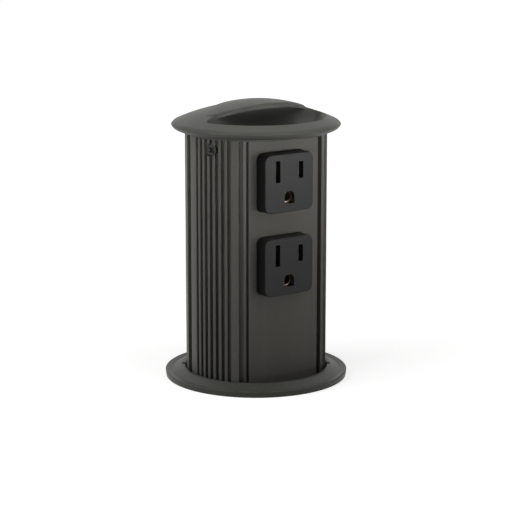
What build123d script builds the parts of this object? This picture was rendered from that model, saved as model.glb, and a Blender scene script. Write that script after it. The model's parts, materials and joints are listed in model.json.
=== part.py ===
from build123d import *
import math
import os

# A pull-up socket tower for a counter top, in millimetres and degrees.
# Z points up, the counter top is z = 0, the tower axis is x = y = 0 and the sockets look along -Y.
# The tower is drawn raised, as it stands in use.

# Column: a fluted tube that holds a flat panel at the front and another at the back.
column_radius = 32.5
column_wall = 3.9
rail_width = 3.0
panel_recess = 0.4
panel_thickness = 4.0
panel_half_width = 19.3
panel_side_gap = 1.7
panel_fit = 0.1
panel_edge_round = 0.35
tongue_reach = 0.9
tongue_thickness = 1.2
web_thickness = 1.7

# Flutes, corner grooves and keyways of the column.
flute_start = 9.66
flute_pitch = 5.5
flute_count = 7
rib_least = 1.0
flute_width = 1.6
flute_depth = 1.8
flute_edge_round = 0.3
corner_groove_width = 2.0
corner_groove_depth = 2.6
keyway_angle = 105.3
keyway_width = 4.8
keyway_depth = 2.2

# Heights of the raised tower above the counter, and depths below it.
cap_equator = 117.8
cap_shoulder_drop = 3.6
liner_depth = 38.0
sleeve_depth = 56.0
counter_thickness = 30.0
stop_gap = 0.1

# Sockets: two blocks that stand out of windows in the front panel.
socket_offset = -1.6
socket_spacing = 38.1
upper_socket_drop = 19.7
socket_size = 26.5
socket_reach = 6.6
socket_corner = 3.2
socket_edge_round = 0.4
socket_front_wall = 2.6
socket_wall = 1.8
window_clearance = 0.2
collar_lip = 1.25
collar_thickness = 1.4

# Openings of a socket, about its centre.
slot_half_spacing = 6.35
slot_rise = 5.4
slot_width = 2.5
neutral_slot_height = 9.8
line_slot_height = 7.6
ground_drop = 6.5
ground_width = 5.4
ground_height = 5.8

# Housing behind a socket. Places along the way the sockets look are counted from the axis.
housing_gap = 0.05
housing_flange = 1.5
housing_step = 2.0
housing_wall = 1.5
housing_back = -6.0

# Contacts and bus bars.
tine_gap = 1.5
tine_thickness = 0.8
tine_height = 6.0
tine_setback = 0.9
clip_back = 4.0
clip_base = 2.0
ground_tube_outer = 3.3
ground_tube_inner = 2.45
ground_tube_setback = 0.3
tail_width = 4.0
tail_thickness = 0.8
tail_fit = 0.05
bus_front = -8.0
bus_thickness = 1.2
bus_width = 5.0
bus_overhang = 6.0

# Gasket under the cap.
cap_gasket_gap = 0.5
cap_gasket_width = 1.8
cap_gasket_drop = 2.5
cap_gasket_groove = 0.8

# Cap: a lens shaped disc whose underside slopes in to a short skirt.
cap_skirt_gap = 0.3
cap_skirt_wall = 0.7
cap_skirt_drop = 2.3
cap_recess_drop = 1.7
cap_overhang = 3.0
cap_under_bow = 0.45
cap_edge_inset = 1.7
cap_edge_rise = 1.7
cap_edge_round = 0.4
cap_dome_rise = 9.6

# Finger scoop of the cap and the crescent grip that overhangs it.
bowl_rim = 2.3
bowl_floor_drop = 1.8
bowl_corner = 16.0
bowl_back_wall = 4.0
bowl_back_round = 10.0
bowl_end_radius = 30.6
bowl_end_wall = 7.0
bowl_end_round = 2.5
bowl_end_slope = 30.0
grip_sphere = 68.0
grip_rise = 11.35
grip_crest = -2.3
grip_half_length = 28.6
grip_end = 1.0
grip_front = 12.5
grip_rear = 15.0
grip_tip_round = 4.5
grip_edge_round = 1.2
grip_lip = 2.0

# Spigots of the cap and of the bottom plug inside the column.
spigot_wall = 4.0
spigot_depth = 13.0
spigot_fit = 0.15

# Screws that run in from the column sides.
screw_angle = 74.0
screw_head_radius = 2.5
screw_head_height = 1.5
screw_shank_radius = 1.45
screw_length = 7.0
screw_hole_radius = 1.6
screw_pocket_radius = 3.0
screw_pocket_depth = 2.4
screw_cross_width = 0.8
screw_cross_length = 3.2
screw_cross_depth = 0.9
cap_screw_drop = 4.8
plug_screw_rise = 6.1

# Liner that guides the column, with keys and tabs.
guide_clearance = 0.08
guide_band = 5.0
liner_relief_depth = 0.42
liner_wall = 1.62
liner_gap = 0.1
liner_top = 1.2
key_clearance = 0.1
key_root_clearance = 0.4
key_root_inset = 0.4
tab_clearance = 0.2
tab_reach = 1.5
tab_thickness = 1.2
tab_root = 1.0

# Sleeve through the counter, with its thread and an upright slot for the washer.
sleeve_wall = 2.6
sleeve_top = 1.3
shoulder_step = 1.1
shoulder_height = 6.0
thread_depth = 0.9
thread_pitch = 4.0
thread_lead_in = 2.0
thread_turns = 10
thread_root_width = 2.2
thread_crest_width = 1.0
thread_sink = 0.5
sleeve_slot_width = 6.0
sleeve_slot_depth = 0.9
sleeve_slot_run_out = 4.0

# Flange ring on the counter: a raised land with small nicks, a slope, a faint crease and a plain rim.
ring_hole_clearance = 0.6
ring_land_width = 1.8
ring_land_height = 4.5
ring_cover = 4.3
ring_crease_inset = 3.1
ring_crease_height = 2.35
ring_rim_height = 2.8
ring_side_lean = 0.3
ring_edge_round = 0.4
ring_fit = 0.1
ring_nick_angle = 54.5
ring_nick_width = 2.2
ring_nick_reach = 1.5
ring_nick_drop = 1.6
pocket_count = 4
pocket_width = 5.6
pocket_end_gap = 0.3

# Seal in a groove under the flange ring.
seal_inset = 0.4
seal_width = 1.5
seal_height = 1.0
seal_fit = 0.05

# Clamp under the counter.
washer_width = 8.9
washer_thickness = 2.5
washer_clearance = 0.3
tongue_root = 2.0
nut_gap = 0.05
nut_wall = 5.95
nut_height = 10.0
nut_lug_height = 3.0
nut_lug_width = 9.0
nut_lug_count = 6
nut_thread_clearance = 0.25

# Bottom plug and cable gland.
stop_flange_clearance = 0.3
stop_flange_thickness = 3.0
plug_height = 12.0
gland_bore = 4.5
gland_fit = 0.1
gland_thread_radius = 7.0
gland_hex = 20.0
gland_hex_height = 6.0
gland_dome_radius = 9.4
gland_dome_height = 12.0
gland_dome_taper = 9.0
gland_nut_hex = 17.0
gland_nut_height = 4.0

# Terminal block and conductors.
block_web_gap = 1.0
block_length = 28.0
block_depth = 8.4
block_height = 14.0
block_post_width = 2.5
block_post_height = 5.5
terminal_pitch = 8.8
terminal_entry = 4.0
terminal_screw_rise = 7.1
terminal_screw_radius = 1.9
terminal_screw_depth = 3.0
wire_radius = 1.5
wire_bend = 15.0

# Cutting solids reach this far past what they cut, and edges count as equal within the tolerance.
cut_margin = 2.0
tolerance = 0.1

HALF = 0.5

# Radii that follow from the column, from the inside out.
column_bore = column_radius - column_wall
guide_bore = column_radius + guide_clearance
liner_relief = guide_bore + liner_relief_depth
liner_outer = guide_bore + liner_wall
sleeve_inner = liner_outer + liner_gap
sleeve_outer = sleeve_inner + sleeve_wall
thread_crest = sleeve_outer + thread_depth
shoulder_radius = sleeve_outer + shoulder_step
ring_radius = shoulder_radius + ring_cover
cut_reach = column_radius + cut_margin

# Planes of the rails and panels, counted from the axis.
channel_half_width = panel_half_width + panel_side_gap
tongue_half_width = channel_half_width + tongue_reach
rail_face = math.sqrt(column_radius ** 2 - (channel_half_width + rail_width) ** 2)
panel_face = rail_face - panel_recess
channel_floor = panel_face - panel_thickness
web_inner = channel_floor - web_thickness
socket_face = panel_face + socket_reach

# Heights that follow.
column_top = cap_equator - cap_shoulder_drop
column_bottom = -liner_depth - stop_gap
upper_socket = column_top - upper_socket_drop
lower_socket = upper_socket - socket_spacing
cap_screw_height = column_top - cap_screw_drop
plug_screw_height = column_bottom + plug_screw_rise

os.makedirs("parts", exist_ok=True)


def around(angle, radius):
    """Point at an angle from the front normal, counted towards +X."""
    turn = math.radians(angle)
    return (radius * math.sin(turn), -radius * math.cos(turn))


def outward(angle, radius, height):
    """Plane on the column side whose normal points away from the axis."""
    x, y = around(angle, radius)
    ux, uy = around(angle, 1)
    return Plane(origin=(x, y, height), x_dir=(0, 0, 1), z_dir=(ux, uy, 0))


def spoke(angle, inner, outer, height):
    """Place midway between two radii, turned to point away from the axis."""
    return Location((*around(angle, (inner + outer) * HALF), height), (0, 0, angle))


def save(block, name):
    """Label a finished piece and write it."""
    block.part.label = name
    export_step(block.part, "parts/" + name + ".step")


# The column's section: round sides with flutes, and a stepped channel for each panel.
corner_angle = math.degrees(math.acos(rail_face / column_radius))
keyway_spread = math.degrees(((flute_width + keyway_width) * HALF + rib_least) / column_radius)
flute_row = [corner_angle + flute_start + index * flute_pitch for index in range(flute_count)]
flute_angles = [angle for angle in flute_row if angle < keyway_angle - keyway_spread]
rear_flute_angles = [180 - angle for angle in flute_angles if 180 - angle > keyway_angle + keyway_spread]


def radial_groove(angle, width, depth):
    """Cut a groove of the column's outline."""
    floor = column_radius - depth
    with Locations(spoke(angle, floor, cut_reach, 0)):
        Rectangle(width, cut_reach - floor, mode=Mode.SUBTRACT)


with BuildSketch() as cavity:
    Circle(column_bore)
    Rectangle(2 * column_bore, 2 * web_inner, mode=Mode.INTERSECT)

with BuildPart() as column_extrusion:
    with BuildSketch(Plane.XY.offset(column_bottom)) as column_section:
        Circle(column_radius)
        for facing in (-1, 1):
            with Locations((0, facing * (rail_face + cut_reach) * HALF)):
                Rectangle(2 * cut_reach, cut_reach - rail_face, mode=Mode.SUBTRACT)
            with Locations((0, facing * (channel_floor + cut_reach) * HALF)):
                Rectangle(2 * channel_half_width, cut_reach - channel_floor, mode=Mode.SUBTRACT)
            with Locations((0, facing * (channel_floor + tongue_thickness * HALF))):
                Rectangle(2 * tongue_half_width, tongue_thickness, mode=Mode.SUBTRACT)
        for hand in (-1, 1):
            for angle in flute_angles + rear_flute_angles:
                radial_groove(hand * angle, flute_width, flute_depth)
            for angle in (corner_angle, 180 - corner_angle):
                radial_groove(hand * angle, corner_groove_width, corner_groove_depth)
            radial_groove(hand * keyway_angle, keyway_width, keyway_depth)
        mouths = [v for v in column_section.vertices() if math.hypot(v.X, v.Y) > column_radius - tolerance]
        fillet(mouths, radius=flute_edge_round)
        add(cavity.sketch, mode=Mode.SUBTRACT)
    extrude(amount=column_top - column_bottom)
    for height in (upper_socket, lower_socket):
        with Locations((socket_offset, -(channel_floor + web_inner) * HALF, height)):
            window = socket_size + 2 * collar_lip + 2 * window_clearance
            Box(window, web_thickness + 2 * tolerance, window, mode=Mode.SUBTRACT)
    for hand in (-1, 1):
        for height in (cap_screw_height, plug_screw_height):
            with Locations(outward(hand * screw_angle, column_radius - screw_pocket_depth, height)):
                Cylinder(screw_pocket_radius, screw_pocket_depth + cut_margin,
                         align=(Align.CENTER, Align.CENTER, Align.MIN), mode=Mode.SUBTRACT)
                Cylinder(screw_hole_radius, 2 * column_wall, mode=Mode.SUBTRACT)

save(column_extrusion, "column_extrusion")

# Panels: a raised land that shows, and a wider base whose edges slide down the slots of the column.
panel_back = channel_floor + panel_fit
panel_base_front = channel_floor + tongue_thickness - panel_fit


def panel_section(facing):
    """Outline of a panel at the front (-1) or the back (1)."""
    with BuildSketch(Plane.XY.offset(column_bottom)) as outline:
        with Locations((0, facing * (panel_back + panel_face) * HALF)):
            Rectangle(2 * panel_half_width, panel_face - panel_back)
        with Locations((0, facing * (panel_back + panel_base_front) * HALF)):
            Rectangle(2 * (tongue_half_width - 2 * panel_fit), panel_base_front - panel_back)
    return outline.sketch


with BuildPart() as front_panel:
    extrude(panel_section(-1), amount=column_top - column_bottom)
    fillet(front_panel.edges().filter_by(Axis.Z).group_by(Axis.Y)[0], radius=panel_edge_round)
    for height in (upper_socket, lower_socket):
        with BuildSketch(Plane.XZ.offset(channel_floor)):
            with Locations((socket_offset, height)):
                window = socket_size + 2 * window_clearance
                RectangleRounded(window, window, socket_corner + window_clearance)
        extrude(amount=cut_reach - channel_floor, mode=Mode.SUBTRACT)

with BuildPart() as rear_panel:
    extrude(panel_section(1), amount=column_top - column_bottom)
    fillet(rear_panel.edges().filter_by(Axis.Z).group_by(Axis.Y)[-1], radius=panel_edge_round)

save(front_panel, "front_panel")
save(rear_panel, "rear_panel")

# Gasket and cap radii, from the column out.
cap_gasket_inner = column_radius + cap_gasket_gap
cap_gasket_outer = cap_gasket_inner + cap_gasket_width
cap_skirt_inner = cap_gasket_outer + cap_skirt_gap
cap_skirt_outer = cap_skirt_inner + cap_skirt_wall
cap_radius = cap_skirt_outer + cap_overhang
cap_recess = cap_equator - cap_recess_drop
cap_skirt_bottom = cap_equator - cap_skirt_drop

with BuildPart() as cap_gasket:
    with BuildSketch(Plane.XY.offset(cap_equator - cap_gasket_drop)):
        Circle(cap_gasket_outer)
        Circle(cap_gasket_inner, mode=Mode.SUBTRACT)
    extrude(amount=cap_gasket_drop - cap_recess_drop + cap_gasket_groove)

save(cap_gasket, "cap_gasket")

# Finger scoop: a round bowl that keeps only its front part, with a coved wall at the back and
# two rounded ends whose walls slope outwards.
bowl_radius = cap_radius - bowl_rim
bowl_floor = cap_equator - bowl_floor_drop
scoop_height = cap_dome_rise + grip_rise

with BuildPart() as scoop:
    with BuildSketch(Plane.XZ) as bowl_profile:
        with Locations((0, bowl_floor)):
            Rectangle(bowl_radius, scoop_height, align=(Align.MIN, Align.MIN))
        fillet(bowl_profile.vertices().group_by(Axis.Y)[0].sort_by(Axis.X)[-1], radius=bowl_corner)
    revolve(axis=Axis.Z)
    with BuildSketch(Plane.YZ) as back_profile:
        with Locations((-bowl_back_wall, bowl_floor)):
            Rectangle(2 * bowl_radius, scoop_height, align=(Align.MAX, Align.MIN))
        fillet(back_profile.vertices().group_by(Axis.Y)[0].sort_by(Axis.X)[-1], radius=bowl_back_round)
    extrude(amount=2 * bowl_radius, both=True, mode=Mode.INTERSECT)
    with BuildSketch(Plane.XY.offset(bowl_floor)) as end_outline:
        Circle(bowl_end_radius)
        with Locations((0, -bowl_end_wall)):
            Rectangle(2 * bowl_radius, 2 * bowl_radius, align=(Align.CENTER, Align.MAX), mode=Mode.INTERSECT)
        fillet(end_outline.vertices(), radius=bowl_end_round)
    extrude(amount=scoop_height, taper=-bowl_end_slope, mode=Mode.INTERSECT)

# Crescent grip: the space between two arcs under a sphere, hollow below its lip.
grip_centre = cap_equator + grip_rise - grip_sphere

with BuildPart() as scoop_under_grip:
    add(scoop.part)
    with Locations((0, grip_crest, grip_centre)):
        Sphere(grip_sphere - grip_lip, mode=Mode.INTERSECT)

with BuildPart() as grip:
    with BuildSketch(Plane.XY.offset(cap_equator)) as grip_outline:
        with BuildLine():
            ThreePointArc((-grip_half_length, -grip_end), (0, -grip_front), (grip_half_length, -grip_end))
            ThreePointArc((grip_half_length, -grip_end), (0, grip_rear), (-grip_half_length, -grip_end))
        make_face()
        fillet(grip_outline.vertices(), radius=grip_tip_round)
    extrude(amount=grip_rise + cut_margin)
    with Locations((0, grip_crest, grip_centre)):
        Sphere(grip_sphere, mode=Mode.INTERSECT)
    fillet(grip.faces().sort_by(Axis.Z)[-1].edges(), radius=grip_edge_round)
    add(scoop_under_grip.part, mode=Mode.SUBTRACT)

# Spigot that fits inside the column: two bowed walls beside the flat webs.
with BuildSketch() as spigot_outline:
    Circle(column_bore - spigot_fit)
    Rectangle(2 * column_bore, 2 * (web_inner - spigot_fit), mode=Mode.INTERSECT)
    Circle(column_bore - spigot_fit - spigot_wall, mode=Mode.SUBTRACT)

with BuildPart() as top_cap:
    with BuildSketch(Plane.XZ) as cap_profile:
        with BuildLine():
            Polyline((0, cap_equator + cap_dome_rise), (0, column_top), (column_radius, column_top),
                     (column_radius, cap_recess), (cap_skirt_inner, cap_recess),
                     (cap_skirt_inner, cap_skirt_bottom), (cap_skirt_outer, cap_skirt_bottom))
            SagittaArc((cap_skirt_outer, cap_skirt_bottom), (cap_radius, cap_equator), -cap_under_bow)
            dome = TangentArc((0, cap_equator + cap_dome_rise),
                              (cap_radius - cap_edge_inset, cap_equator + cap_edge_rise), tangent=(1, 0))
            TangentArc(dome @ 1, (cap_radius, cap_equator), tangent=dome % 1)
        make_face()
        fillet(cap_profile.vertices().sort_by(Axis.X)[-1], radius=cap_edge_round)
    revolve(axis=Axis.Z)
    add(scoop.part, mode=Mode.SUBTRACT)
    add(grip.part)
    with BuildSketch(Plane.XY.offset(cap_recess)):
        Circle(cap_gasket_outer)
        Circle(cap_gasket_inner, mode=Mode.SUBTRACT)
    extrude(amount=cap_gasket_groove, mode=Mode.SUBTRACT)
    with BuildSketch(Plane.XY.offset(column_top - spigot_depth)):
        add(spigot_outline.sketch)
    extrude(amount=spigot_depth)
    for hand in (-1, 1):
        with Locations(outward(hand * screw_angle, column_bore, cap_screw_height)):
            Cylinder(screw_shank_radius, 3 * spigot_wall, mode=Mode.SUBTRACT)

save(top_cap, "top_cap")


def radial_screws(height):
    """One pair of cross head screws, heads down in the pockets of the column."""
    seat = column_radius - screw_pocket_depth
    for hand in (-1, 1):
        with Locations(outward(hand * screw_angle, seat, height)):
            Cylinder(screw_head_radius, screw_head_height, align=(Align.CENTER, Align.CENTER, Align.MIN))
            Cylinder(screw_shank_radius, screw_length, align=(Align.CENTER, Align.CENTER, Align.MAX))
        with Locations(outward(hand * screw_angle, seat + screw_head_height, height)):
            for turn in (-45, 45):
                Box(screw_cross_length, screw_cross_width, 2 * screw_cross_depth, rotation=(0, 0, turn),
                    mode=Mode.SUBTRACT)


with BuildPart() as cap_screws:
    radial_screws(cap_screw_height)

with BuildPart() as plug_screws:
    radial_screws(plug_screw_height)

save(cap_screws, "cap_screws")
save(plug_screws, "plug_screws")

# Socket modules: a face block, a housing behind it and three contacts, made once for each height.
collar_size = socket_size + 2 * collar_lip
collar_back = channel_floor - collar_thickness
face_inside = socket_face - socket_front_wall
housing_front = collar_back - housing_gap
housing_size = collar_size - 2 * housing_step
tail_end = bus_front - bus_thickness


def socket_face_block(height):
    """Rounded square front, a collar that the panel holds back, and three openings."""
    cavity_size = socket_size - 2 * socket_wall
    with BuildPart() as block:
        with BuildSketch(Plane.XZ.offset(collar_back)):
            with Locations((socket_offset, height)):
                RectangleRounded(collar_size, collar_size, socket_corner)
        extrude(amount=collar_thickness)
        with BuildSketch(Plane.XZ.offset(collar_back)):
            with Locations((socket_offset, height)):
                RectangleRounded(socket_size, socket_size, socket_corner)
        extrude(amount=socket_face - collar_back)
        fillet(block.faces().sort_by(Axis.Y)[0].edges(), radius=socket_edge_round)
        with BuildSketch(Plane.XZ.offset(collar_back)):
            with Locations((socket_offset, height)):
                RectangleRounded(cavity_size, cavity_size, socket_corner - socket_wall)
        extrude(amount=face_inside - collar_back, mode=Mode.SUBTRACT)
        with BuildSketch(Plane.XZ.offset(collar_back)):
            with Locations((socket_offset - slot_half_spacing, height + slot_rise)):
                Rectangle(slot_width, neutral_slot_height)
            with Locations((socket_offset + slot_half_spacing, height + slot_rise)):
                Rectangle(slot_width, line_slot_height)
            with Locations((socket_offset, height - ground_drop + (ground_height - ground_width) * HALF)):
                Circle(ground_width * HALF)
            with Locations((socket_offset, height - ground_drop - ground_width * HALF * HALF)):
                Rectangle(ground_width, ground_height - ground_width * HALF)
        extrude(amount=cut_reach - collar_back, mode=Mode.SUBTRACT)
    return block


def socket_housing(height):
    """Box behind the face block, with slits in its back for the contact tails."""
    tail_places = [(socket_offset - slot_half_spacing, height + slot_rise),
                   (socket_offset + slot_half_spacing, height + slot_rise),
                   (socket_offset, height - ground_drop)]
    with BuildPart() as housing:
        with BuildSketch(Plane.XZ.offset(housing_front - housing_flange)):
            with Locations((socket_offset, height)):
                Rectangle(collar_size, collar_size)
        extrude(amount=housing_flange)
        with BuildSketch(Plane.XZ.offset(housing_back)):
            with Locations((socket_offset, height)):
                Rectangle(housing_size, housing_size)
        extrude(amount=housing_front - housing_back)
        with BuildSketch(Plane.XZ.offset(housing_back + housing_wall)):
            with Locations((socket_offset, height)):
                Rectangle(housing_size - 2 * housing_wall, housing_size - 2 * housing_wall)
        extrude(amount=housing_front - housing_back, mode=Mode.SUBTRACT)
        with BuildSketch(Plane.XZ.offset(housing_back)):
            with Locations(tail_places):
                Rectangle(tail_thickness + 2 * tail_fit, tail_width + 2 * tail_fit)
        extrude(amount=housing_wall, mode=Mode.SUBTRACT)
    return housing


def contact_tail(centre, height):
    """Sketch of a contact tail, drawn at the back of the bus bars."""
    with BuildSketch(Plane.XZ.offset(tail_end)) as tail:
        with Locations((centre, height)):
            Rectangle(tail_thickness, tail_width)
    return tail.sketch


def blade_contact(side, socket_height):
    """Spring clip behind a blade slot: two tines on a base, with a tail to the bus bar."""
    centre = socket_offset + side * slot_half_spacing
    height = socket_height + slot_rise
    with BuildPart() as clip:
        with BuildSketch(Plane.XZ.offset(clip_back)):
            with Locations((centre, height)):
                Rectangle(tine_gap + 2 * tine_thickness, tine_height)
        extrude(amount=clip_base)
        with BuildSketch(Plane.XZ.offset(clip_back)):
            with Locations((centre, height)):
                with GridLocations(tine_gap + tine_thickness, 0, 2, 1):
                    Rectangle(tine_thickness, tine_height)
        extrude(amount=face_inside - tine_setback - clip_back)
        extrude(contact_tail(centre, height), amount=clip_back - tail_end)
    return clip


def ground_contact(socket_height):
    """Round spring sleeve behind the ground opening, with a tail to the bus bar."""
    height = socket_height - ground_drop
    length = face_inside - ground_tube_setback - clip_back
    with BuildPart() as clip:
        with BuildSketch(Plane.XZ.offset(clip_back)):
            with Locations((socket_offset, height)):
                Circle(ground_tube_outer)
        extrude(amount=length)
        with BuildSketch(Plane.XZ.offset(clip_back + clip_base)):
            with Locations((socket_offset, height)):
                Circle(ground_tube_inner)
        extrude(amount=length, mode=Mode.SUBTRACT)
        extrude(contact_tail(socket_offset, height), amount=clip_back - tail_end)
    return clip


def bus_bar(centre, rise):
    """Upright strip that joins the tails of one pole in both sockets."""
    low = lower_socket + rise - bus_overhang
    high = upper_socket + rise + bus_overhang
    with BuildPart() as bar:
        with BuildSketch(Plane.XZ.offset(tail_end)):
            with Locations((centre, (low + high) * HALF)):
                Rectangle(bus_width, high - low)
            with Locations((centre, upper_socket + rise), (centre, lower_socket + rise)):
                Rectangle(tail_thickness + 2 * tail_fit, tail_width + 2 * tail_fit, mode=Mode.SUBTRACT)
        extrude(amount=bus_thickness)
    return bar


for level, height in (("upper", upper_socket), ("lower", lower_socket)):
    save(socket_face_block(height), level + "_socket_face")
    save(socket_housing(height), level + "_socket_housing")
    save(blade_contact(-1, height), level + "_neutral_contact")
    save(blade_contact(1, height), level + "_line_contact")
    save(ground_contact(height), level + "_ground_contact")

save(bus_bar(socket_offset - slot_half_spacing, slot_rise), "neutral_bus")
save(bus_bar(socket_offset + slot_half_spacing, slot_rise), "line_bus")
save(bus_bar(socket_offset, -ground_drop), "ground_bus")

# Bottom plug: its flange is wider than the liner bore, so it stops the column when it is raised.
# Two posts on it carry the terminal block above the cable gland's nut.
flange_bottom = column_bottom - stop_flange_thickness
block_offset = web_inner - block_web_gap - block_depth * HALF
block_bottom = column_bottom + block_post_height
block_top = block_bottom + block_height

with BuildPart() as bottom_plug:
    with BuildSketch(Plane.XY.offset(flange_bottom)):
        Circle(sleeve_inner - stop_flange_clearance)
    extrude(amount=stop_flange_thickness)
    with BuildSketch(Plane.XY.offset(column_bottom)):
        add(spigot_outline.sketch)
    extrude(amount=plug_height)
    with Locations((0, 0, flange_bottom)):
        Cylinder(gland_thread_radius + gland_fit, 2 * plug_height, mode=Mode.SUBTRACT)
    for hand in (-1, 1):
        with Locations(outward(hand * screw_angle, column_bore, plug_screw_height)):
            Cylinder(screw_shank_radius, 3 * spigot_wall, mode=Mode.SUBTRACT)
        with Locations((hand * (block_length - block_post_width) * HALF, block_offset, column_bottom)):
            Box(block_post_width, block_depth, block_post_height,
                align=(Align.CENTER, Align.CENTER, Align.MIN))

with BuildPart() as cable_gland:
    with BuildSketch(Plane.XY.offset(flange_bottom)):
        RegularPolygon(gland_hex * HALF, 6, major_radius=False)
    extrude(amount=-gland_hex_height)
    with BuildSketch(Plane.XY.offset(flange_bottom - gland_hex_height)):
        Circle(gland_dome_radius)
    extrude(amount=-gland_dome_height, taper=gland_dome_taper)
    with Locations((0, 0, flange_bottom)):
        Cylinder(gland_thread_radius, stop_flange_thickness + gland_nut_height,
                 align=(Align.CENTER, Align.CENTER, Align.MIN))
        Cylinder(gland_bore, 4 * gland_dome_height, mode=Mode.SUBTRACT)

with BuildPart() as gland_nut:
    with BuildSketch(Plane.XY.offset(column_bottom)):
        RegularPolygon(gland_nut_hex * HALF, 6, major_radius=False)
        Circle(gland_thread_radius + gland_fit, mode=Mode.SUBTRACT)
    extrude(amount=gland_nut_height)

save(bottom_plug, "bottom_plug")
save(cable_gland, "cable_gland")
save(gland_nut, "gland_nut")

# Terminal block on the plug: one entry from above and one clamp screw for each conductor.
block_front = block_offset - block_depth * HALF
terminals = [-terminal_pitch, 0, terminal_pitch]
screw_places = [Plane(origin=(x, block_front, block_bottom + terminal_screw_rise), z_dir=(0, -1, 0))
                for x in terminals]

with BuildPart() as terminal_block:
    with Locations((0, block_offset, block_bottom)):
        Box(block_length, block_depth, block_height, align=(Align.CENTER, Align.CENTER, Align.MIN))
    with Locations([(x, block_offset, block_top) for x in terminals]):
        Cylinder(wire_radius + gland_fit, 2 * terminal_entry, mode=Mode.SUBTRACT)
    with Locations(screw_places):
        Cylinder(terminal_screw_radius + gland_fit, 2 * terminal_screw_depth, mode=Mode.SUBTRACT)

with BuildPart() as terminal_screws:
    with Locations(screw_places):
        Cylinder(terminal_screw_radius, terminal_screw_depth, align=(Align.CENTER, Align.CENTER, Align.MAX))
        Box(2 * terminal_screw_radius, screw_cross_width, screw_cross_width, mode=Mode.SUBTRACT)

save(terminal_block, "terminal_block")
save(terminal_screws, "terminal_screws")


def conductor(bus_x, rise, terminal_x):
    """Insulated wire from the foot of a bus bar down to its terminal, offset in the middle third."""
    bus_y = -(bus_front + tail_end) * HALF
    foot = lower_socket + rise - bus_overhang
    third = (foot - block_top) / 3
    with BuildPart() as wire:
        with BuildLine() as route:
            FilletPolyline((bus_x, bus_y, foot), (bus_x, bus_y, foot - third),
                           (terminal_x, block_offset, block_top + third),
                           (terminal_x, block_offset, block_top - terminal_entry), radius=wire_bend)
        with BuildSketch(Plane(origin=route.line @ 0, z_dir=route.line % 0)):
            Circle(wire_radius)
        sweep(path=route.line)
    return wire


save(conductor(socket_offset - slot_half_spacing, slot_rise, terminals[0]), "neutral_wire")
save(conductor(socket_offset, -ground_drop, terminals[1]), "ground_wire")
save(conductor(socket_offset + slot_half_spacing, slot_rise, terminals[2]), "line_wire")

# Flange ring: the sleeve's top sits in a recess below it, and the liner's tabs in pockets above that.
ring_hole = column_radius + ring_hole_clearance
ring_land = ring_hole + ring_land_width
ring_crease = ring_radius - ring_crease_inset
ring_recess = sleeve_outer + ring_fit
ring_recess_height = sleeve_top + ring_fit
seal_inner = shoulder_radius + seal_inset
seal_outer = seal_inner + seal_width
tab_tip = liner_outer + tab_reach
cut_start = ring_hole - cut_margin
pocket_end = tab_tip + pocket_end_gap
pocket_angles = [index * 360 / pocket_count for index in range(pocket_count)]
nick_end = ring_hole + ring_nick_reach
nick_angles = [ring_nick_angle, 180 - ring_nick_angle, 180 + ring_nick_angle, -ring_nick_angle]

with BuildPart() as flange_ring:
    with BuildSketch(Plane.XZ):
        with BuildLine():
            Polyline((ring_recess, 0), (ring_recess, ring_recess_height), (ring_hole, ring_recess_height),
                     (ring_hole, ring_land_height - ring_edge_round))
            RadiusArc((ring_hole, ring_land_height - ring_edge_round),
                      (ring_hole + ring_edge_round, ring_land_height), ring_edge_round)
            Polyline((ring_hole + ring_edge_round, ring_land_height), (ring_land, ring_land_height),
                     (ring_crease, ring_crease_height), (ring_radius - ring_edge_round, ring_rim_height))
            RadiusArc((ring_radius - ring_edge_round, ring_rim_height),
                      (ring_radius, ring_rim_height - ring_edge_round), ring_edge_round)
            Polyline((ring_radius, ring_rim_height - ring_edge_round), (ring_radius - ring_side_lean, 0),
                     (ring_recess, 0))
        make_face()
    revolve(axis=Axis.Z)
    with BuildSketch():
        Circle(seal_outer)
        Circle(seal_inner, mode=Mode.SUBTRACT)
    extrude(amount=seal_height, mode=Mode.SUBTRACT)
    for angle in pocket_angles:
        with Locations(spoke(angle, cut_start, pocket_end, ring_recess_height)):
            Box(pocket_width, pocket_end - cut_start, tab_thickness + ring_fit,
                align=(Align.CENTER, Align.CENTER, Align.MIN), mode=Mode.SUBTRACT)
    for angle in nick_angles:
        with Locations(spoke(angle, cut_start, nick_end, ring_land_height)):
            Box(ring_nick_width, nick_end - cut_start, 2 * ring_nick_drop, mode=Mode.SUBTRACT)

with BuildPart() as flange_gasket:
    with BuildSketch():
        Circle(seal_outer - seal_fit)
        Circle(seal_inner + seal_fit, mode=Mode.SUBTRACT)
    extrude(amount=seal_height - seal_fit)

save(flange_ring, "flange_ring")
save(flange_gasket, "flange_gasket")

# Sleeve: a tube with a shoulder that centres it in the counter hole and a coarse thread below it.
thread_start = thread_lead_in - sleeve_depth
thread_height = thread_turns * thread_pitch
slot_floor = sleeve_outer - sleeve_slot_depth
slot_length = thread_lead_in + thread_height + sleeve_slot_run_out


def ridge_half(radius):
    """Half width of the sleeve's thread ridge at a radius."""
    flank = (thread_root_width - thread_crest_width) * HALF / thread_depth
    return thread_root_width * HALF - flank * (radius - sleeve_outer)


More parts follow.
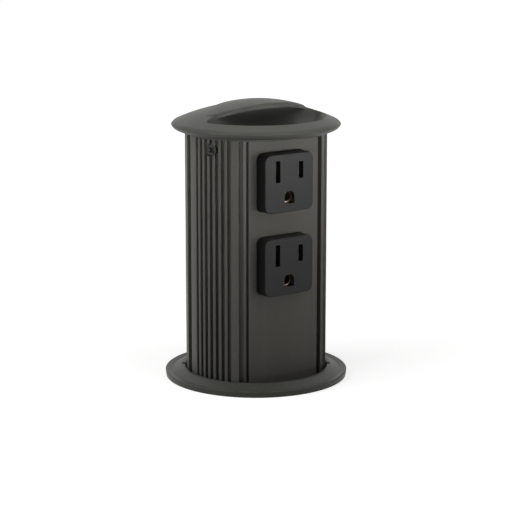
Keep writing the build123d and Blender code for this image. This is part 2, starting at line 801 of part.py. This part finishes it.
with BuildPart() as threaded_sleeve:
    with BuildSketch(Plane.XY.offset(-sleeve_depth)):
        Circle(sleeve_outer)
    extrude(amount=sleeve_depth + sleeve_top)
    with BuildSketch(Plane.XY.offset(-shoulder_height)):
        Circle(shoulder_radius)
    extrude(amount=shoulder_height)
    with BuildLine() as ridge_path:
        Helix(thread_pitch, thread_height, sleeve_outer, center=(0, 0, thread_start))
    with BuildSketch(Plane(origin=ridge_path.line @ 0, x_dir=(1, 0, 0), z_dir=ridge_path.line % 0)):
        root = thread_root_width * HALF
        crest = ridge_half(thread_crest)
        Polygon((-thread_sink, -root), (thread_depth, -crest), (thread_depth, crest), (-thread_sink, root),
                align=None)
    sweep(path=ridge_path.line, is_frenet=True)
    with BuildSketch(Plane.XY.offset(-sleeve_depth)):
        Circle(sleeve_inner)
    extrude(amount=sleeve_depth + sleeve_top, mode=Mode.SUBTRACT)
    with Locations((0, slot_floor, -sleeve_depth)):
        Box(sleeve_slot_width, thread_crest + cut_margin - slot_floor, slot_length,
            align=(Align.CENTER, Align.MIN, Align.MIN), mode=Mode.SUBTRACT)

save(threaded_sleeve, "threaded_sleeve")

# Liner: guide bands at both ends, two keys in the column's keyways and four tabs in the ring's pockets.
liner_length = liner_depth + liner_top
key_width = keyway_width - 2 * key_clearance
key_tip = column_radius - keyway_depth + key_root_clearance
key_root = liner_outer - key_root_inset
tab_width = pocket_width - 2 * tab_clearance
tab_top = ring_recess_height + tab_thickness
tab_foot = liner_top - tab_root

with BuildPart() as guide_liner:
    with BuildSketch(Plane.XY.offset(-liner_depth)):
        Circle(liner_outer)
        Circle(guide_bore, mode=Mode.SUBTRACT)
    extrude(amount=liner_length)
    with BuildSketch(Plane.XY.offset(guide_band - liner_depth)):
        Circle(liner_relief)
    extrude(amount=liner_length - 2 * guide_band, mode=Mode.SUBTRACT)
    for hand in (-1, 1):
        with Locations(spoke(hand * keyway_angle, key_tip, key_root, -liner_depth)):
            Box(key_width, key_root - key_tip, liner_length, align=(Align.CENTER, Align.CENTER, Align.MIN))
    for angle in pocket_angles:
        with Locations(spoke(angle, liner_relief, liner_outer, tab_foot)):
            Box(tab_width, liner_outer - liner_relief, tab_top - tab_foot,
                align=(Align.CENTER, Align.CENTER, Align.MIN))
        with Locations(spoke(angle, liner_relief, tab_tip, ring_recess_height)):
            Box(tab_width, tab_tip - liner_relief, tab_thickness,
                align=(Align.CENTER, Align.CENTER, Align.MIN))

save(guide_liner, "guide_liner")

# Clamp: the washer's tongue keeps it from turning on the sleeve, and the lug nut drives it up.
washer_top = -counter_thickness
washer_inner = thread_crest + washer_clearance
tongue_tip = slot_floor + washer_clearance
tongue_end = thread_crest + tongue_root

with BuildPart() as clamp_washer:
    with BuildSketch(Plane.XY.offset(washer_top - washer_thickness)):
        Circle(washer_inner + washer_width)
        Circle(washer_inner, mode=Mode.SUBTRACT)
        with Locations((0, (tongue_tip + tongue_end) * HALF)):
            Rectangle(sleeve_slot_width - 2 * washer_clearance, tongue_end - tongue_tip)
    extrude(amount=washer_thickness)

save(clamp_washer, "clamp_washer")

# The nut carries a ridge that runs midway between the turns of the sleeve's thread.
nut_top = washer_top - washer_thickness - nut_gap
nut_bottom = nut_top - nut_height
nut_bore = thread_crest + nut_thread_clearance
nut_outer = nut_bore + nut_wall
nut_ridge_tip = sleeve_outer + nut_thread_clearance
tip_half = thread_pitch * HALF - nut_thread_clearance - ridge_half(nut_ridge_tip)
base_half = thread_pitch * HALF - nut_thread_clearance - ridge_half(nut_bore + thread_sink)
midway = thread_start + thread_pitch * HALF
ridge_start = midway + math.ceil((nut_bottom + base_half - midway) / thread_pitch) * thread_pitch
quarter_turns = math.floor(4 * (nut_top - base_half - ridge_start) / thread_pitch)

with BuildPart() as locknut:
    with BuildSketch(Plane.XY.offset(nut_bottom)):
        Circle(nut_outer)
        with PolarLocations(nut_outer, nut_lug_count):
            Rectangle(2 * nut_lug_height, nut_lug_width)
        Circle(nut_bore, mode=Mode.SUBTRACT)
    extrude(amount=nut_height)
    with BuildLine() as ridge_path:
        Helix(thread_pitch, quarter_turns * thread_pitch / 4, nut_bore, center=(0, 0, ridge_start))
    with BuildSketch(Plane(origin=ridge_path.line @ 0, x_dir=(1, 0, 0), z_dir=ridge_path.line % 0)):
        tip = nut_ridge_tip - nut_bore
        Polygon((tip, -tip_half), (thread_sink, -base_half), (thread_sink, base_half), (tip, tip_half),
                align=None)
    sweep(path=ridge_path.line, is_frenet=True)

save(locknut, "locknut")
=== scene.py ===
import json
import math

import bpy
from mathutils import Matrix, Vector

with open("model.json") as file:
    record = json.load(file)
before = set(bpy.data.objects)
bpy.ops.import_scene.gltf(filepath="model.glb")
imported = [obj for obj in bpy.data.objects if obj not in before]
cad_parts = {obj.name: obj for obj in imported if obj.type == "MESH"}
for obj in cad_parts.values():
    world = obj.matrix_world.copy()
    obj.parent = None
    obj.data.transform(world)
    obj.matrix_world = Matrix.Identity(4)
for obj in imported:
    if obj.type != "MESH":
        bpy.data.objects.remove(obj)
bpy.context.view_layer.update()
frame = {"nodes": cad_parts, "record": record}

# Camera of the photograph: angles in degrees, lengths in metres from the centre of the counter hole.
CAMERA_AZIMUTH = -35.48
CAMERA_DISTANCE = 0.8441
CAMERA_HEIGHT = 0.2405
CAMERA_PITCH = 12.34
LENS_MM = 131.2
SENSOR_MM = 36.0

# Noise of every finish: a fine grain and a slow mottle, and the part of their range that is put to use.
MM_PER_METRE = 1000.0
GRAIN_DETAIL = 4.0
GRAIN_ROUGHNESS = 0.6
GRAIN_SHARE = 0.35
MOTTLE_MM = 9.0
MOTTLE_DETAIL = 3.0
MOTTLE_ROUGHNESS = 0.5
NOISE_LOW = 0.3
NOISE_HIGH = 0.7

# Drawn metal has its grain fifty times longer along the height.
DRAWN = 0.02

# Value sockets of a float mix, by number.
MIX_A = 2
MIX_B = 3

# Points that the lamps look at, in metres from the centre of the counter hole.
MIDDLE = (0, 0, 0.06)
CAP = (0, 0, 0.10)
OVERHEAD = (0, 0, 0.36)

# Beams of the lamps, in degrees: with a grid and open.
GRID_BEAM = 36.0
OPEN_BEAM = 180.0

# Backdrop: how bright it is seen, and how much light it gives.
WHITE = (1, 1, 1, 1)
BACKGROUND = 1.0
WORLD_LEVEL = 0.05

# Floor: the colour that is seen, the darker one that bounces light onto the tower, and its radii in metres.
FLOOR_COLOUR = (0.86, 0.86, 0.855, 1)
FLOOR_BOUNCE = (0.20, 0.20, 0.20, 1)
FLOOR_RADIUS = 3.0
HOLE_RADIUS = 0.0381
FLOOR_SIDES = 128

# The floor is lifted to the backdrop's white by a glow that grows between two distances from the tower.
FLOOR_LIFT_NEAR = 0.58
FLOOR_LIFT_FAR = 0.97
FLOOR_NEAR = 0.25
FLOOR_FAR = 1.0


def node(tree, kind, inputs=None, **settings):
    """Add a shader node, set its attributes and its plain input values."""
    made = tree.nodes.new(kind)
    for name, value in settings.items():
        setattr(made, name, value)
    for name, value in (inputs or {}).items():
        made.inputs[name].default_value = value
    return made


def link(tree, source, output, target, socket):
    """Join an output to an input, each given by its name or its number."""
    tree.links.new(source.outputs[output], target.inputs[socket])


def empty_tree(owner):
    """Node tree of a material or a world, without the nodes that it starts with."""
    owner.use_nodes = True
    owner.node_tree.nodes.clear()
    return owner.node_tree


def ramp(tree, low, high):
    """Colour ramp between two colours, over the part of the noise that is put to use."""
    made = node(tree, "ShaderNodeValToRGB")
    made.color_ramp.elements[0].position = NOISE_LOW
    made.color_ramp.elements[0].color = (*low, 1)
    made.color_ramp.elements[1].position = NOISE_HIGH
    made.color_ramp.elements[1].color = (*high, 1)
    return made


def surface(name, low, high, rough, grain_mm, depth_mm, height_scale=1.0, metallic=0.0, specular=0.25):
    """Finish whose grain moves its height and roughness, and whose colour follows grain and mottle."""
    made = bpy.data.materials.new(name)
    tree = empty_tree(made)
    output = node(tree, "ShaderNodeOutputMaterial")
    shader = node(tree, "ShaderNodeBsdfPrincipled", {"Metallic": metallic, "Specular IOR Level": specular})
    link(tree, shader, "BSDF", output, "Surface")

    coords = node(tree, "ShaderNodeTexCoord")
    mapping = node(tree, "ShaderNodeMapping", {"Scale": (1.0, 1.0, height_scale)})
    link(tree, coords, "Object", mapping, "Vector")
    grain = node(tree, "ShaderNodeTexNoise", {"Scale": MM_PER_METRE / grain_mm, "Detail": GRAIN_DETAIL,
                                              "Roughness": GRAIN_ROUGHNESS})
    link(tree, mapping, "Vector", grain, "Vector")
    mottle = node(tree, "ShaderNodeTexNoise", {"Scale": MM_PER_METRE / MOTTLE_MM, "Detail": MOTTLE_DETAIL,
                                               "Roughness": MOTTLE_ROUGHNESS})
    link(tree, mapping, "Vector", mottle, "Vector")

    mix = node(tree, "ShaderNodeMix", {"Factor": GRAIN_SHARE}, data_type="FLOAT")
    link(tree, mottle, "Fac", mix, MIX_A)
    link(tree, grain, "Fac", mix, MIX_B)
    colours = ramp(tree, low, high)
    link(tree, mix, "Result", colours, "Fac")
    link(tree, colours, "Color", shader, "Base Color")

    roughness = node(tree, "ShaderNodeMapRange", {"From Min": NOISE_LOW, "From Max": NOISE_HIGH,
                                                  "To Min": rough[0], "To Max": rough[1]})
    link(tree, grain, "Fac", roughness, "Value")
    link(tree, roughness, "Result", shader, "Roughness")
    bump = node(tree, "ShaderNodeBump", {"Strength": 1.0, "Distance": depth_mm / MM_PER_METRE})
    link(tree, grain, "Fac", bump, "Height")
    link(tree, bump, "Normal", shader, "Normal")
    return made


# Finishes: two colours and two roughnesses that the noise runs between, and the grain's width and depth.
FINISHES = {
    "black_shell": dict(low=(0.047, 0.047, 0.040), high=(0.061, 0.061, 0.053), rough=(0.42, 0.52),
                        grain_mm=0.35, depth_mm=0.010),
    "black_aluminium": dict(low=(0.076, 0.074, 0.065), high=(0.094, 0.092, 0.081), rough=(0.38, 0.48),
                            grain_mm=0.30, depth_mm=0.006, height_scale=DRAWN),
    "black_panel": dict(low=(0.092, 0.088, 0.078), high=(0.108, 0.104, 0.092), rough=(0.52, 0.62),
                        grain_mm=0.30, depth_mm=0.006, height_scale=DRAWN),
    "black_socket": dict(low=(0.004, 0.004, 0.004), high=(0.006, 0.006, 0.006), rough=(0.36, 0.44),
                         grain_mm=0.30, depth_mm=0.006, specular=0.20),
    "black_liner": dict(low=(0.018, 0.018, 0.017), high=(0.026, 0.026, 0.024), rough=(0.50, 0.62),
                        grain_mm=0.40, depth_mm=0.010),
    "housing_plastic": dict(low=(0.026, 0.026, 0.026), high=(0.036, 0.036, 0.036), rough=(0.45, 0.55),
                            grain_mm=0.40, depth_mm=0.008),
    "spring_brass": dict(low=(0.34, 0.28, 0.15), high=(0.46, 0.38, 0.22), rough=(0.22, 0.38),
                         grain_mm=0.50, depth_mm=0.004, metallic=1.0),
    "bus_copper": dict(low=(0.62, 0.33, 0.20), high=(0.78, 0.44, 0.28), rough=(0.25, 0.42),
                       grain_mm=0.50, depth_mm=0.004, metallic=1.0),
    "black_screw": dict(low=(0.020, 0.020, 0.020), high=(0.035, 0.035, 0.034), rough=(0.28, 0.42),
                        grain_mm=0.25, depth_mm=0.006, metallic=0.6),
    "terminal_steel": dict(low=(0.52, 0.52, 0.52), high=(0.64, 0.64, 0.63), rough=(0.25, 0.40),
                           grain_mm=0.30, depth_mm=0.004, metallic=1.0),
    "seal_rubber": dict(low=(0.012, 0.012, 0.012), high=(0.022, 0.022, 0.021), rough=(0.60, 0.75),
                        grain_mm=0.40, depth_mm=0.012),
    "washer_steel": dict(low=(0.040, 0.040, 0.038), high=(0.060, 0.060, 0.057), rough=(0.35, 0.50),
                         grain_mm=0.40, depth_mm=0.008, metallic=0.3),
    "insulation_white": dict(low=(0.72, 0.72, 0.69), high=(0.80, 0.80, 0.77), rough=(0.35, 0.45),
                             grain_mm=0.50, depth_mm=0.004),
    "insulation_black": dict(low=(0.022, 0.022, 0.022), high=(0.034, 0.034, 0.034), rough=(0.35, 0.45),
                             grain_mm=0.50, depth_mm=0.004),
    "insulation_green": dict(low=(0.04, 0.26, 0.09), high=(0.06, 0.33, 0.12), rough=(0.35, 0.45),
                             grain_mm=0.50, depth_mm=0.004),
}
MATERIALS = {name: surface(name, **finish) for name, finish in FINISHES.items()}

# The flat panels have a rougher, lighter finish than the fluted column that holds them.
PANELS = {"front_panel": "black_panel", "rear_panel": "black_panel"}

for part in frame["record"]["subparts"]:
    finish_name = PANELS.get(part["node"], part["material_slot"])
    mesh = frame["nodes"][part["node"]].data
    mesh.materials.clear()
    mesh.materials.append(MATERIALS[finish_name])


def around(azimuth, elevation, distance):
    """Point at an angle from the front, negative to the left, and at an angle above the floor, in degrees."""
    turn = math.radians(azimuth)
    rise = math.radians(elevation)
    return (distance * math.sin(turn) * math.cos(rise), -distance * math.cos(turn) * math.cos(rise),
            distance * math.sin(rise))


def area_light(name, place, size, watts, target, beam=OPEN_BEAM):
    """Soft round lamp that looks at a point. A beam under 180 degrees is that of a lamp with a grid."""
    lamp = bpy.data.lights.new(name, "AREA")
    lamp.shape = "DISK"
    lamp.size = size
    lamp.energy = watts
    lamp.spread = math.radians(beam)
    holder = bpy.data.objects.new(name, lamp)
    bpy.context.scene.collection.objects.link(holder)
    holder.location = place
    holder.rotation_euler = (Vector(target) - Vector(place)).to_track_quat("-Z", "Y").to_euler()


area_light("front_right", place=around(azimuth=28, elevation=14, distance=0.75), size=0.60, watts=1.05,
           target=OVERHEAD, beam=GRID_BEAM)
area_light("front_left", place=around(azimuth=-30, elevation=14, distance=0.75), size=0.60, watts=1.1,
           target=OVERHEAD, beam=GRID_BEAM)
area_light("left", place=around(azimuth=-100, elevation=30, distance=0.70), size=0.70, watts=1.9, target=CAP)
area_light("top", place=(0.0, 0.0, 1.0), size=1.2, watts=4.2, target=MIDDLE)
area_light("fill", place=around(azimuth=25, elevation=42, distance=0.80), size=0.60, watts=0.9, target=CAP)


def seen_white(tree, lit, shown):
    """Mix that shows one shader to the camera, in mirrors and through glass, and lights with the other."""
    path = node(tree, "ShaderNodeLightPath")
    direct = node(tree, "ShaderNodeMath", operation="MAXIMUM")
    link(tree, path, "Is Camera Ray", direct, 0)
    link(tree, path, "Is Transmission Ray", direct, 1)
    either = node(tree, "ShaderNodeMath", operation="MAXIMUM")
    link(tree, direct, "Value", either, 0)
    link(tree, path, "Is Glossy Ray", either, 1)
    mix = node(tree, "ShaderNodeMixShader")
    link(tree, either, "Value", mix, "Fac")
    link(tree, lit, 0, mix, 1)
    link(tree, shown, 0, mix, 2)
    return mix


world = bpy.data.worlds.new("studio")
bpy.context.scene.world = world
world_tree = empty_tree(world)
world_out = node(world_tree, "ShaderNodeOutputWorld")
world_lit = node(world_tree, "ShaderNodeBackground", {"Color": WHITE, "Strength": WORLD_LEVEL})
world_seen = node(world_tree, "ShaderNodeBackground", {"Color": WHITE, "Strength": BACKGROUND})
world_mix = seen_white(world_tree, world_lit, world_seen)
link(world_tree, world_mix, "Shader", world_out, "Surface")


def holed_disc(name, inner, outer, sides):
    """Flat disc at the height of the counter, with a round hole in its middle."""
    turns = [2 * math.pi * index / sides for index in range(sides)]
    points = [(radius * math.cos(turn), radius * math.sin(turn), 0)
              for radius in (inner, outer) for turn in turns]
    faces = []
    for index in range(sides):
        following = (index + 1) % sides
        faces.append((index, sides + index, sides + following, following))
    mesh = bpy.data.meshes.new(name)
    mesh.from_pydata(points, [], faces)
    made = bpy.data.objects.new(name, mesh)
    bpy.context.scene.collection.objects.link(made)
    return made


# The floor is a counter top with the 76.2 mm hole that the tower stands in.
floor = holed_disc("floor", HOLE_RADIUS, FLOOR_RADIUS, FLOOR_SIDES)
floor_look = bpy.data.materials.new("floor")
floor_tree = empty_tree(floor_look)
floor_out = node(floor_tree, "ShaderNodeOutputMaterial")
floor_plain = node(floor_tree, "ShaderNodeBsdfDiffuse", {"Color": FLOOR_COLOUR})
floor_glow = node(floor_tree, "ShaderNodeEmission", {"Color": WHITE})
floor_place = node(floor_tree, "ShaderNodeTexCoord")
floor_distance = node(floor_tree, "ShaderNodeVectorMath", operation="LENGTH")
floor_lift = node(floor_tree, "ShaderNodeMapRange", {"From Min": FLOOR_NEAR, "From Max": FLOOR_FAR,
                                                     "To Min": FLOOR_LIFT_NEAR, "To Max": FLOOR_LIFT_FAR})
link(floor_tree, floor_place, "Object", floor_distance, "Vector")
link(floor_tree, floor_distance, "Value", floor_lift, "Value")
link(floor_tree, floor_lift, "Result", floor_glow, "Strength")
floor_sum = node(floor_tree, "ShaderNodeAddShader")
link(floor_tree, floor_plain, "BSDF", floor_sum, 0)
link(floor_tree, floor_glow, "Emission", floor_sum, 1)
floor_grey = node(floor_tree, "ShaderNodeBsdfDiffuse", {"Color": FLOOR_BOUNCE})
floor_mix = seen_white(floor_tree, floor_grey, floor_sum)
link(floor_tree, floor_mix, "Shader", floor_out, "Surface")
floor.data.materials.append(floor_look)

# A camera that is turned by 90 degrees about X looks level, towards the back.
camera_data = bpy.data.cameras.new("camera")
camera_data.lens = LENS_MM
camera_data.sensor_width = SENSOR_MM
camera_data.sensor_fit = "HORIZONTAL"
camera = bpy.data.objects.new("camera", camera_data)
bpy.context.scene.collection.objects.link(camera)
camera_turn = math.radians(CAMERA_AZIMUTH)
camera.location = (CAMERA_DISTANCE * math.sin(camera_turn), -CAMERA_DISTANCE * math.cos(camera_turn),
                   CAMERA_HEIGHT)
camera.rotation_euler = (math.radians(90 - CAMERA_PITCH), 0, camera_turn)
bpy.context.scene.camera = camera

bpy.context.scene.view_settings.view_transform = "Standard"
